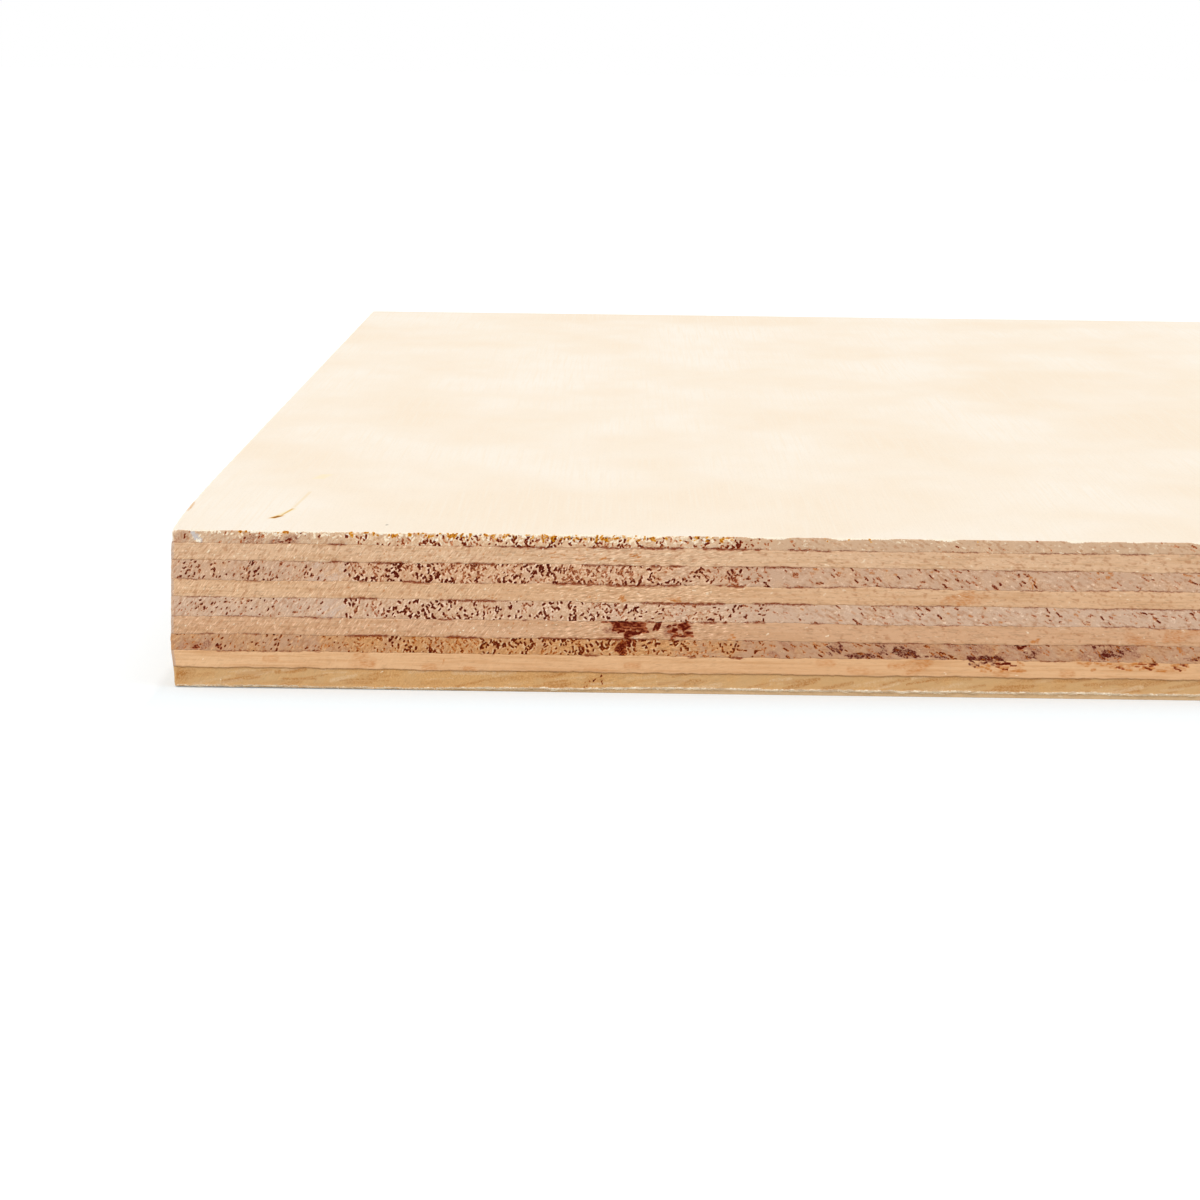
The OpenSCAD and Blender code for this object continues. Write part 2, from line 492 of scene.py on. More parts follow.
# %% Plum smudges on the seventh ply
STAINS["long_ply_7"] = [
    ("plum", (0.3, 4.2), (0.0, 0.6), 5, (-10, 40), "faint"),
    ("pore", (17.2, 20.2), (0.05, 0.95), 18, (20, 110), "speck"),
    ("stain", (50.8, 51.7), (0.15, 0.6), 6, (20, 110), "blot"),
    ("stain", (51.9, 52.8), (0.55, 1.0), 9, (70, 110), "fine"),
    ("stain", (56.9, 57.7), (0.85, 1.0), 4, (-20, 20), "fine"),
    ("stain", (2.7, 3.4), (0.1, 0.3), 3, (-20, 20), "fine"),
    ("stain", (5.3, 5.8), (0.15, 0.6), 4, (50, 100), "fine"),
    ("rust", (17.6, 18.5), (0.2, 0.6), 5, (50, 120), "fine"),
    ("plum", (74.8, 76.4), (0.25, 0.95), 20, (-50, -20), "fine"),
    ("plum", (76.8, 79.6), (0.10, 0.35), 16, (-15, 0), "dash"),
    ("plum", (80.4, 81.6), (0.30, 0.85), 9, (-80, -20), "fine"),
    ("plum", (82.3, 83.6), (0.35, 0.80), 9, (-60, -10), "fine"),
    ("plum", (82.6, 84.6), (0.15, 0.55), 10, (-35, -5), "bold"),
    ("plum", (84.8, 88.3), (0.10, 0.30), 10, (-45, 10), "fine"),
    ("plum", (90.6, 91.8), (0.02, 0.35), 9, (-50, -20), "bold"),
    ("plum", (92.2, 94.4), (0.02, 0.25), 14, (-15, 8), "bold"),
    ("plum", (89.0, 99.5), (0.1, 0.95), 22, (-40, -5), "haze"),
    ("plum", (97.2, 98.4), (0.10, 0.6), 10, (-40, 0), "fine"),
    ("stain", (96.1, 97.2), (0.82, 1.0), 8, (-30, 20), "fine"),
    ("plum", (104.8, 107.0), (0.40, 1.0), 12, (-60, -15), "fine"),
    ("plum", (105.8, 108.3), (0.20, 0.65), 11, (-40, -5), "bold"),
    ("plum", (107.5, 109.2), (0.65, 1.0), 10, (-50, -10), "fine"),
    ("plum", (102.5, 111.5), (0.1, 0.95), 16, (-40, -5), "haze"),
    ("rust", (114.5, 115.5), (0.45, 0.95), 7, (-80, -50), "fine"),
    ("plum", (115.5, 118.5), (0.15, 0.40), 12, (-15, 15), "dash"),
    ("plum", (68, 90), (0.05, 0.95), 18, (-40, -5), "haze"),
    ("plum", (77.0, 80.4), (0.12, 0.30), 12, (-12, 0), "bold"),
    ("plum", (82.4, 84.4), (0.20, 0.60), 6, (-35, -5), "bold"),
]
print(len(STAINS["long_ply_7"]), "clouds of strokes")

# %% [markdown]
# The eighth ply was cut along its grain and stayed smooth, so its marks are rusty dashes along the
# fibres. The back ply has long streaks, light and dark, and a rubbed corner.

# %% Streaks on the lowest plies
STAINS["cross_ply_8"] = [
    ("plum", (90.7, 92.5), (0.65, 1.0), 11, (-45, -15), "fine"),
    ("plum", (92.2, 95.0), (0.72, 1.0), 13, (-20, 0), "dash"),
    ("stain", (92.0, 96.0), (0.45, 0.9), 6, (-25, 10), "dash"),
    ("rust", (91.0, 97.4), (0.35, 0.9), 20, (-25, 8), "swipe"),
    ("stain", (108.0, 115.2), (0.60, 0.95), 4, (-20, 15), "dash"),
    ("rust", (103.5, 116.0), (0.50, 0.95), 38, (-22, 14), "swipe"),
    ("rust", (20.6, 23.4), (0.2, 0.8), 6, (-10, 30), "faint"),
    ("rust", (31.0, 31.3), (0.2, 0.8), 3, (80, 100), "speck"),
    ("rust", (1.0, 121.0), (0.05, 0.95), 16, (-3, 3), "haze"),
    ("rust", (83.8, 86.2), (0.2, 0.9), 5, (-20, 60), "faint"),
    ("rust", (89, 121), (0.2, 0.9), 12, (-8, 4), "haze"),
    ("stain", (109.0, 115.5), (0.60, 0.95), 7, (-20, 10), "dash"),
]
STAINS["back_ply"] = [
    ("rust", (46.8, 49.6), (0.25, 0.9), 3, (0, 30), "faint"),
    ("pore", (47.2, 49.4), (0.45, 0.85), 8, (0, 160), "speck"),
    ("pore", (47.0, 47.6), (0.2, 0.5), 3, (70, 100), "speck"),
    ("rust", (0.0, 1.8), (0.1, 1.0), 12, (-30, 30), "faint"),
    ("rust", (1.0, 121.0), (0.2, 1.0), 90, (0, 16), "streak"),
    ("smear_and_painted_light", (3.0, 121.0), (0.2, 1.0), 60, (0, 16), "streak"),
    ("rust", (0.5, 1.7), (0.3, 0.95), 6, (-30, 30), "blot"),
]
print(len(STAINS["cross_ply_8"]) + len(STAINS["back_ply"]), "clouds of strokes")

# %% [markdown]
# A ply's marks are kept as fields: for each kind of mark a grid of strengths, one value for every point
# of its edge. Shape and colour both read them, so a dark pore is also a pit. Each ply has a random
# generator of its own, so a change on one ply leaves the others as they were.

# %% All marks of one ply
CLUSTER_SEED = 60


def mark_fields(name, heights, thickness, random):
    """All marks of one ply: a field of strokes for each kind of mark."""
    fields = {mark: np.zeros((len(heights), len(columns))) for mark in MARKS}
    fields["plain"][:] = plain
    if name in PORES:
        pores = zone_strokes(random, PORE_ZONES, PORES[name], thickness)
        pores = gather(pores, CLUSTER_SEED + PLIES.index(name))
        draw(fields["pore"], heights, pores)
        draw(fields["fleck_and_highlight"], heights, pale_lip_highlights(pores))
    draw(fields["fleck_and_highlight"], heights, zone_strokes(random, FLECK_ZONES, FLECKS[name], thickness))
    for mark, along, share, number, slant, brush in STAINS[name]:
        height = (share[0] * thickness, share[1] * thickness)
        measures = dict(zip(ZONE_MEASURES[2:], BRUSHES[brush]))
        strokes = scatter(random, number, along=along, height=height, slant=slant, **measures)
        draw(fields[mark], heights, strokes)
    return fields


tried = mark_fields("back_ply", np.linspace(0, 2, 9), 2.0, np.random.default_rng(1))
print("marks on a trial strip:", [mark for mark, field in tried.items() if field.any()])

# %% [markdown]
# Now the section of each ply. The saw left its edge almost flat: pores are pits a tenth of a
# millimetre deep, the plies part in a shallow groove at each glue line, and the surface undulates a
# little. The face ply's arris is rubbed round, most of all at the corner. The back ply tore where the
# blade came out: a ridge of loose fibres runs along it, and below it the edge falls back to the floor.

# %% The sawn edge
EDGE_RIPPLES = [(0.045, 7.0, 51), (0.018, 0.5, 52)]     # height, cell and seed
SAW_DEPTH = 0.025
SAW_SEED = 70
GROOVE_WIDTH = 0.12
GROOVE_SPREAD = 0.06    # how much wider a groove is where its line is dark
GROOVE_DEPTH = 0.008
DASH_DEPTH = 0.045      # how much deeper it is there
BARE_GLUE = 0.14        # how strongly a glue line shows between its dashes
PIT_DEPTH = 0.12
TEAR_DEPTH = 0.12
FIBRE_HEIGHT = 0.03
# How strongly the saw's ridges and hollows show on each ply, in the shape and in their painted shade
SAW_STRENGTH = {"face_ply": 0.8, "cross_ply_2": 0.8, "long_ply_3": 0.9,
                "cross_ply_4": 0.7, "centre_ply_5": 0.9, "cross_ply_6": 0.7,
                "long_ply_7": 0.9, "cross_ply_8": 0.25, "back_ply": 0.35}


def deepen(fields, mark, strength):
    """Adds a strength to a mark's field, where it is stronger than what is there."""
    fields[mark] = np.maximum(fields[mark], strength)


def edge_relief(name, outline, heights, fields):
    """How far each point of the edge stands out from the saw cut: fibres stand up, pits, tears and
    the grooves at both glue lines sink in, and two noises and the saw marks ripple the whole."""
    number = PLIES.index(name)
    points = np.empty((len(heights), len(columns), 3))
    points[..., :2] = outline
    points[..., 2] = heights[:, None] + ply_box[name][0, 2]
    saw = saw_marks(heights, SAW_SEED + 3 * number) * SAW_STRENGTH[name]
    out = layered_noise(points, EDGE_RIPPLES) + SAW_DEPTH * saw
    # The saw's hollows get painted shade, and its crests a painted highlight as pale flecks.
    fields["shade"] = smooth(-saw, 0.05, 0.75)
    deepen(fields, "fleck_and_highlight", 0.35 * smooth(saw, 0.2, 0.8))
    for layer, gap in ((number, heights[-1] - heights), (number + 1, heights)):
        if 0 < layer < len(PLIES):
            dash = line_dash(layer)
            groove = np.exp(-(gap[:, None] / (GROOVE_WIDTH + GROOVE_SPREAD * dash)) ** 2)
            out -= groove * (GROOVE_DEPTH + DASH_DEPTH * dash)
            deepen(fields, "glue", groove * (BARE_GLUE + (1 - BARE_GLUE) * dash))
    out -= PIT_DEPTH * fields["pore"] + TEAR_DEPTH * np.maximum(fields["stain"], 0.5 * fields["plum"])
    return out + FIBRE_HEIGHT * fields["fleck_and_highlight"]


print("grooves from", GROOVE_DEPTH, "to", GROOVE_DEPTH + DASH_DEPTH, "mm deep, pores", PIT_DEPTH, "mm")

# %% [markdown]
# The arris is the line where the face meets the edge. The saw tears it, and use rubs it round. A Bevel
# modifier could round it, but evenly all along. So its radius is worked out from the place: small on
# most of the sheet, ragged on the torn stretch, and largest at the worn corner.

# %% The face ply's arris
ARRIS_R = 0.16
TORN_ARRIS_R = 0.22     # what tearing adds to the arris radius
CORNER_WEAR = 0.40      # what wear adds to it at the worn corner
SIDE_WEAR_RUN = 6.0     # how far that wear runs along the left side
END_WEAR_RUN = 1.3      # how far it runs along the near end
BITE_DEPTH = 0.14
BITE_REACH = 0.4        # how far below the face the bites are felt
PALE_DEPTH = 0.26       # how far below the face its pale wood shows, at most
CHIP_AT = 38.0          # distance of the chipped spot on the left arris from the corner
CHIP_HALF = 13.0
torn_stretch = smooth(columns, 5, 12) * (1 - 0.8 * smooth(columns, 62, 74)) * near_end
chip = 1 - smooth(np.abs(columns - (perimeter - CHIP_AT)) / CHIP_HALF, 0.4, 1.0)


def arris_radius():
    """Radius of the face's rubbed arris round the sheet: even, ragged where the saw tore it, and
    larger towards the worn corner, by a share that falls off as exp(-distance / run)."""
    ragged = edge_noise(0.9, 31) + 0.6 * edge_noise(0.35, 32)
    even = ARRIS_R * (1 + 0.7 * edge_noise(3.0, 33))
    wear = np.maximum(np.exp(-columns / END_WEAR_RUN), np.exp((columns - perimeter) / SIDE_WEAR_RUN))
    return even + TORN_ARRIS_R * torn_stretch * smooth(ragged, 0.1, 1.0) + CORNER_WEAR * wear


def round_off(out, radius, gap, fields):
    """Rounds the face ply's upper arris, in place: a quarter circle of the arris radius, torn in
    small bites. The face's pale wood shows over the rounding, down to a ragged line."""
    depth = (radius - gap[:, None]).clip(0)
    out -= radius - np.sqrt((radius ** 2 - depth ** 2).clip(0))
    spread = np.broadcast_arrays(sharp_points[:, 0], sharp_points[:, 1], gap[:, None])
    bites = smooth(lattice_noise(np.stack(spread, axis=-1), 0.42, 34), 0.0, 0.8)
    out -= BITE_DEPTH * bites * np.exp(-(gap[:, None] / BITE_REACH) ** 2) * torn_stretch
    ragged = 0.5 + 0.5 * edge_noise(0.55, 35)
    limit = PALE_DEPTH * ragged * torn_stretch - 0.02 + PALE_DEPTH * edge_noise(2.4, 36)
    deepen(fields, "bare", 1 - smooth(gap[:, None] - limit, -0.13, 0.15))


print("arris radius from", arris_radius().min().round(2), "to", arris_radius().max().round(2), "mm")

# %% [markdown]
# At the bottom the blade came out of the wood, and nothing held the last fibres down. They tore, and
# stand out as a pale ridge a little above the floor. The ridge is a bell curve that is added to the
# edge at a wandering height, and below it the edge falls back.

# %% The back ply's torn ridge
RIDGE = 0.14            # how far the torn ridge stands out
RIDGE_HALF = 0.13
RIDGE_LOW = 0.15        # height of the ridge at the corner
RIDGE_CLIMB = 0.45      # how much higher it is further along
FALL = 0.08             # how far the back ply falls back below the ridge
CORNER_LIFT = 0.15      # how far the back ply's lower arris is rubbed away at the corner


def ridge_height():
    """Height of the torn ridge above the floor: low at the corner and higher along the edge."""
    wander = 0.07 * edge_noise(5.0, 41) + 0.07 * edge_noise(1.1, 42)
    return RIDGE_LOW + RIDGE_CLIMB * smooth(columns, 22, 60) + wander


def tear_back(out, heights, fields):
    """Tears the back ply's lower arris, in place: a ridge of pale fibres, and a fall back below it, on
    which a paler tan is painted as painted light.
    """
    above = heights[:, None] - ridge_height()
    ragged = edge_noise(0.45, 43)
    out += RIDGE * (1 + 0.5 * ragged) * np.exp(-(above / RIDGE_HALF) ** 2) * cross_cut
    out -= FALL * smooth(-above, 0.05, 0.55)
    pale = np.exp(-((above - 0.04 * ragged) / RIDGE_HALF) ** 2) * (1 + 0.3 * ragged) * cross_cut
    pale = pale * (0.45 + 0.55 * smooth(columns, 12, 50))
    deepen(fields, "bare", pale.clip(0, 1))
    # The strip below the ridge is tinted a paler tan: partly its own pale wood, and partly painted light
    # that lifts the shade it lies in near the floor.
    deepen(fields, "smear_and_painted_light", 0.9 * smooth(-above, 0.05, 0.25) * cross_cut)


def corner_lift():
    """How far the back ply's lower arris is rubbed up at the worn corner, fading along both edges."""
    along_end = 1 - smooth(columns, 4, 46)
    along_side = 1 - smooth(perimeter - columns, 1, 9)
    return CORNER_LIFT * np.where(near_end, along_end, along_side)


print("ridge from", ridge_height().min().round(2), "to", ridge_height().max().round(2), "mm up")

# %% [markdown]
# The profile of a ply has a lip on its lower side, the sawn edge, and a lip on its upper side. Carried
# round the path it is a closed band, whose points form a grid of rows and columns. The hole that is
# left in the middle of each flat side is closed by a ring of triangles to a coarse loop and one flat
# face inside that, because a flat area needs no points of its own.

# %% Close the flat sides
LOOP_GAP = 12.0         # gap between the points of the coarse loop
LOOP_INSET = 9.0        # distance of the coarse loop from the edge
loop_columns = spread_columns(lambda distance: np.full(len(distance), LOOP_GAP))


def flat_ring(outline, inset, height):
    """The outline at one height, drawn towards the centre so that its sides move in by the inset."""
    drawn_in = outline * (1 - inset / np.array([half_width, half_length]))
    return np.column_stack([drawn_in, np.full(len(outline), height)])


def zip_loops(outer, inner, outer_first, inner_first):
    """Triangles between two loops, given by their distances round the path. Each gap of the outer
    loop reaches to the inner point behind it, and each gap of the inner loop to the outer point ahead."""
    middle = outer + np.diff(np.append(outer, outer[0] + perimeter)) / 2
    behind = (np.searchsorted(inner, middle) - 1) % len(inner)
    index = np.arange(len(outer))
    fan = np.column_stack([outer_first + index, outer_first + np.roll(index, -1), inner_first + behind])
    ahead = np.searchsorted(middle, np.append(inner[1:], perimeter)) % len(outer)
    step = np.arange(len(inner))
    back = np.column_stack([inner_first + step, outer_first + ahead, inner_first + np.roll(step, -1)])
    return np.concatenate([fan, back])


print(len(loop_columns), "points in the coarse loop of each flat side")

# %% [markdown]
# Blender keeps a mesh as long lists: the points, the corners of all faces one after another, and where
# each face starts. foreach_set fills such a list from a whole array at once, which is much faster than
# adding faces one by one.

# %% From arrays to a mesh
def ply_faces(rows, width, loop):
    """Corner indices and face sizes: the band's quads, two rings of triangles and two flat faces."""
    index = np.arange(rows * width).reshape(rows, width)
    following = np.roll(index, -1, axis=1)
    band = np.stack([index[:-1], following[:-1], following[1:], index[1:]], axis=-1).reshape(-1, 4)
    low_first = rows * width
    high_first = low_first + loop
    low_ring = zip_loops(columns, loop_columns, 0, low_first)[:, ::-1]
    high_ring = zip_loops(columns, loop_columns, (rows - 1) * width, high_first)
    low_face = np.arange(low_first, high_first)[::-1]
    high_face = np.arange(high_first, high_first + loop)
    corners = np.concatenate([band.ravel(), low_ring.ravel(), high_ring.ravel(), low_face, high_face])
    sizes = np.repeat([4, 3, loop], [len(band), len(low_ring) + len(high_ring), 2])
    return corners, sizes


def fill_mesh(mesh, points, corners, sizes, smooth_faces):
    """Puts points in millimetres and faces into a mesh."""
    mesh.vertices.add(len(points))
    mesh.vertices.foreach_set("co", (points * MM).astype(np.float32).ravel())
    mesh.loops.add(len(corners))
    mesh.loops.foreach_set("vertex_index", corners.astype(np.int32))
    mesh.polygons.add(len(sizes))
    mesh.polygons.foreach_set("loop_start", np.append(0, np.cumsum(sizes)[:-1]).astype(np.int32))
    mesh.polygons.foreach_set("use_smooth", smooth_faces)
    mesh.update(calc_edges=True)
    changed = mesh.validate()
    print(f"{mesh.name}: {len(mesh.vertices)} points, {(sizes - 2).sum()} triangles, mended {changed}")


print("a band of three rows has", len(ply_faces(3, len(columns), len(loop_columns))[1]), "faces")

# %% [markdown]
# The grid of a ply has a lip below, rows up its edge, and a lip above. The rows lie closer together
# where the veneer is cut across and full of pores, and closest in the face ply's arris. The face ply's
# lip follows the arris in two rings, so that its shading stays clean.

# %% Rows and rings of a ply
ROW_GAP = {"Y": 0.09, "X": 0.14}      # by the direction of the ply's grain
ARRIS_ROWS = 10
ARRIS_FROM = 0.6        # share of the face ply's thickness at which those rows begin
LIP = 1.6
FACE_LIP = 2.8
FACE_RINGS = [0.20, 0.5]          # how far the rings on the face lie inside the arris
TAPER = 0.55            # how far the lowest plies lie back at the worn corner
TAPER_TOP = 6.5
TAPER_RUN = 7.0         # how far along the left side
CORNER_R = {name: 0.6 for name in PLIES} | {"face_ply": 1.2}
SETBACK = {name: 0.03 for name in PLIES} | {"face_ply": 0.06, "back_ply": 0.22}


def row_heights(name, thickness):
    """Heights of the edge rows: evenly spread, and closer together in the face ply's arris."""
    gap = ROW_GAP[GRAIN[name]]
    if name == "face_ply":
        start = ARRIS_FROM * thickness
        low_rows = np.linspace(0, start, 1 + math.ceil(start / gap))
        return np.append(low_rows, np.linspace(start, thickness, ARRIS_ROWS)[1:])
    return np.linspace(0, thickness, 1 + math.ceil(thickness / gap))


def corner_taper(height, setback):
    """How far points at a height are moved to the right at the worn corner: from the taper's top down
    by a smooth step, less what the ply is set back already, and fading from the corner on both sides
    as exp(-distance / run)."""
    wander = 0.07 * lattice_noise(np.pad(height, ((0, 0), (2, 0))), 1.3, 45)[:, None]
    moved = (TAPER * smooth(TAPER_TOP - height, 0, TAPER_TOP) - setback).clip(0) + wander
    return moved * np.exp(-from_corner / TAPER_RUN)


def upper_rings(name, outline, outward, radius, height):
    """Rings on a ply's upper side: one plain lip, or on the face ply two that follow the arris."""
    if name != "face_ply":
        return [flat_ring(outline, LIP, height)]
    rings = [outline - (radius + inset)[:, None] * outward for inset in FACE_RINGS]
    rings = [np.column_stack([ring, np.full(len(ring), height)]) for ring in rings]
    return rings + [flat_ring(outline, FACE_LIP, height)]


print("edge rows:", [len(row_heights(name, np.ptp(ply_box[name][:, 2]))) for name in PLIES])

# %% [markdown]
# One function works out any of the nine plies. It asks the frame for the ply's box, draws the marks and
# the relief, moves the rows at the glue lines up and down with them, and adds the lips.

# %% The grid of a ply
CHIP_GOLD = 0.28
PLY_SEED = 100


def ply_grid(name):
    """Grid of points (rows, columns, 3) of one ply's lips and edge, and its mark fields."""
    number = PLIES.index(name)
    low, high = ply_box[name][:, 2]
    heights = row_heights(name, high - low)
    outline, outward = sheet_outline(columns, SETBACK[name], CORNER_R[name])
    outline[:, 0] += corner_wear
    fields = mark_fields(name, heights, high - low, np.random.default_rng(PLY_SEED + number))
    out = edge_relief(name, outline, heights, fields)
    radius = arris_radius()
    if name == "face_ply":
        round_off(out, radius, heights[-1] - heights, fields)
    if name == "back_ply":
        tear_back(out, heights, fields)
    share = (heights / heights[-1])[:, None]
    rise = share * line_rise(number) * (number > 0)
    rise = rise + (1 - share) * (corner_lift() if name == "back_ply" else line_rise(number + 1))
    edge = np.empty((len(heights), len(columns), 3))
    edge[..., :2] = outline + out[..., None] * outward
    edge[..., 0] += corner_taper(low + heights[:, None], SETBACK[name])
    edge[..., 2] = low + heights[:, None] + rise
    uppers = upper_rings(name, outline, outward, radius, high)
    grid = np.concatenate([flat_ring(outline, LIP, low)[None], edge, np.array(uppers)])
    fields = {mark: np.pad(field, ((1, len(uppers)), (0, 0))) for mark, field in fields.items()}
    if name == "face_ply":
        fields["gold"][-5:-2] = np.maximum(fields["gold"][-5:-2], CHIP_GOLD * chip)
    return grid, fields, len(heights)


print("grid of the eighth ply:", ply_grid("cross_ply_8")[0].shape)

# %% [markdown]
# Each grid becomes an object that stands for the CAD node of its ply. The marks are kept as attributes on
# the points, where the material will read them.

# %% Build the nine plies
def add_object(name, data):
    """Puts a new object with this mesh, lamp or camera into the scene."""
    made = bpy.data.objects.new(name, data)
    bpy.context.scene.collection.objects.link(made)
    return made


def make_ply(name):
    """Makes the object of one ply, which stands for the CAD node of that name."""
    grid, fields, edge_rows = ply_grid(name)
    rows, width = grid.shape[:2]
    loop_outline = sheet_outline(loop_columns, SETBACK[name], CORNER_R[name])[0]
    loops = [flat_ring(loop_outline, LOOP_INSET, height) for height in ply_box[name][:, 2]]
    points = np.concatenate([grid.reshape(-1, 3), *loops])
    corners, sizes = ply_faces(rows, width, len(loop_columns))
    smooth_faces = np.zeros(len(sizes), bool)
    smooth_faces[width:width * (edge_rows + (name == "face_ply"))] = True
    mesh = bpy.data.meshes.new(f"{name}_veneer")
    fill_mesh(mesh, points, corners, sizes, smooth_faces)
    for mark, field in fields.items():
        values = np.zeros(len(points), np.float32)
        values[:rows * width] = field.ravel()
        mesh.attributes.new(mark, "FLOAT", "POINT").data.foreach_set("value", values)
    piece = add_object(f"{name}_veneer", mesh)
    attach(piece, "root")
    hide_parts(name)
    return piece


plies = {name: make_ply(name) for name in PLIES}

# %% [markdown]
# Loose fibres hang on the torn ridge of the back ply, along both ends where the saw came out across
# the grain. Each one is a thin tube that tapers at both ends and bows out of the ridge a little. All
# of them are worked out at once: a row of stations along each fibre, three points round each station.

# %% Loose fibres
FIBRES_SHOWN = 1000
FIBRES_ELSEWHERE = 700
STATIONS = 5
FIBRE_FROM = 2.4        # distance of the first one from the worn corner
FIBRE_LENGTH = (0.25, 1.3)
FIBRE_RADIUS = (0.018, 0.045)
FIBRE_SEED = 7


def fibre_points(random):
    """Points (fibre, station, 3 round, 3): a centre line along the ridge that bows outwards as
    sin(pi t) and wanders in height, with a radius that follows sin(pi t) too."""
    elsewhere = random.uniform(SHOWN, 4 * half_width, FIBRES_ELSEWHERE)
    elsewhere = np.where(elsewhere > side_ends[1], elsewhere + 2 * half_length, elsewhere)
    start = np.append(random.uniform(FIBRE_FROM, SHOWN, FIBRES_SHOWN), elsewhere)
    count = len(start)
    t = np.linspace(0.04, 0.96, STATIONS)
    length = random.uniform(*FIBRE_LENGTH, count)
    place, outward = sheet_outline(start, SETBACK["back_ply"], CORNER_R["back_ply"])
    tangent = np.column_stack([-outward[:, 1], outward[:, 0]])
    bow = np.sin(np.pi * t)
    lift = RIDGE * random.uniform(0.75, 1.25, count)[:, None] + random.uniform(0, 0.07, count)[:, None] * bow
    run = length[:, None] * (t - 0.5)
    ridge = np.interp(start, columns, ridge_height() + corner_lift())[:, None]
    drift = random.normal(0, 0.07, (count, 1)) + random.normal(0, 0.10, (count, 1)) * (t - 0.5)
    centre = np.empty((count, STATIONS, 3))
    centre[..., :2] = place[:, None] + run[..., None] * tangent[:, None] + lift[..., None] * outward[:, None]
    centre[..., 2] = (ridge + drift).clip(0.06)
    radius = random.uniform(*FIBRE_RADIUS, count)[:, None] * bow
    angle = np.arange(3) * 2 * np.pi / 3
    ring = np.empty((count, STATIONS, 3, 3))
    ring[..., :2] = (radius[..., None] * np.cos(angle))[..., None] * outward[:, None, None]
    ring[..., 2] = radius[..., None] * np.sin(angle)
    return centre[:, :, None] + ring


def fibre_faces(count):
    """Quads along each fibre and a triangle on each of its ends, all facing outwards."""
    index = np.arange(count * STATIONS * 3).reshape(count, STATIONS, 3)
    turned = np.roll(index, -1, axis=2)
    sides = np.stack([index[:, :-1], index[:, 1:], turned[:, 1:], turned[:, :-1]], axis=-1).reshape(-1, 4)
    ends = np.concatenate([index[:, 0], index[:, -1, ::-1]])
    corners = np.concatenate([sides.ravel(), ends.ravel()])
    return corners, np.repeat([4, 3], [len(sides), len(ends)])


fibre_grid = fibre_points(np.random.default_rng(FIBRE_SEED))
fibre_mesh = bpy.data.meshes.new("back_ply_fibres")
fibre_corners, fibre_sizes = fibre_faces(len(fibre_grid))
fill_mesh(fibre_mesh, fibre_grid.reshape(-1, 3), fibre_corners, fibre_sizes, np.ones(len(fibre_sizes), bool))
fibres = add_object("back_ply_fibres", fibre_mesh)
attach(fibres, "root")

# %% [markdown]
# Wood looks different along and across its fibres. Where a ply's edge is cut across the grain it is
# greyer, and full of pores, and where it is cut along the grain it is paler and streaked. The material
# finds out which by comparing the surface's direction with the grain, so the same veneer is right on
# all four edges and on its faces. A few small helpers keep the node trees short.

# %% Helpers for node trees
def paint(red, green, blue):
    """A colour given on a 0 to 255 scale, as the linear colour that a shader takes."""
    share = np.array([red, green, blue]) / 255
    linear = np.where(share <= 0.04045, share / 12.92, ((share + 0.055) / 1.055) ** 2.4)
    return (*linear.tolist(), 1.0)


def connect(tree, node, inputs):
    """Fills a node's inputs: a socket is linked, and any other value is set."""
    for key, value in inputs.items():
        if isinstance(value, bpy.types.NodeSocket):
            tree.links.new(value, node.inputs[key])
        else:
            node.inputs[key].default_value = value


def add_node(tree, kind, inputs=(), **settings):
    """Adds a node, sets its properties and fills its inputs."""
    made = tree.nodes.new(kind)
    for key, value in settings.items():
        setattr(made, key, value)
    connect(tree, made, dict(inputs))
    return made


def calculate(tree, operation, *values):
    """A math node on up to three numbers or sockets."""
    return add_node(tree, "ShaderNodeMath", dict(enumerate(values)), operation=operation).outputs[0]


def times(tree, first, second):
    """The product of two numbers or sockets."""
    return calculate(tree, "MULTIPLY", first, second)


def opposite(tree, value):
    """1 less a value."""
    return calculate(tree, "SUBTRACT", 1.0, value)


def between(tree, value, low, high):
    """A smooth step from 0 at low to 1 at high."""
    inputs = {"Value": value, "From Min": low, "From Max": high}
    return add_node(tree, "ShaderNodeMapRange", inputs, interpolation_type="SMOOTHSTEP").outputs[0]


def blend(tree, factor, first, second):
    """Mixes two colours."""
    inputs = {0: factor, 6: first, 7: second}
    return add_node(tree, "ShaderNodeMix", inputs, data_type="RGBA").outputs[2]


def blend_values(tree, factor, first, second):
    """Mixes two numbers."""
    return add_node(tree, "ShaderNodeMix", {0: factor, 2: first, 3: second}).outputs[0]


def new_material(name):
    """A new material, its node tree and its shader."""
    material = bpy.data.materials.new(name)
    material.use_nodes = True
    return material, material.node_tree, material.node_tree.nodes["Principled BSDF"]


print("a pale wood as a shader takes it:", [round(part, 3) for part in paint(254, 244, 229)])

# %% [markdown]
# A pattern needs to know where on the sheet it is. Object coordinates say so in metres, and a Mapping
# node turns them into cells that are long along the grain and narrow across it. The marks that were
# kept on the mesh are read as attributes, and the surface's direction tells how it was cut.

# %% Places, grain and marks in a node tree
CUT_LIMITS = (0.25, 0.65)     # how far a surface faces along the grain before it counts as cut across


def object_place(tree):
    """Place on the sheet, in metres from its origin."""
    return add_node(tree, "ShaderNodeTexCoord").outputs["Object"]


def axes(tree, vector):
    """The parts of a vector, by the names X, Y and Z."""
    return add_node(tree, "ShaderNodeSeparateXYZ", {0: vector}).outputs


def framed_place(tree, middle, turn, size):
    """Object coordinates counted from a middle, on turned axes, with a unit of its own on each."""
    inputs = {"Vector": object_place(tree), "Location": middle, "Rotation": turn, "Scale": size}
    return add_node(tree, "ShaderNodeMapping", inputs, vector_type="TEXTURE").outputs[0]


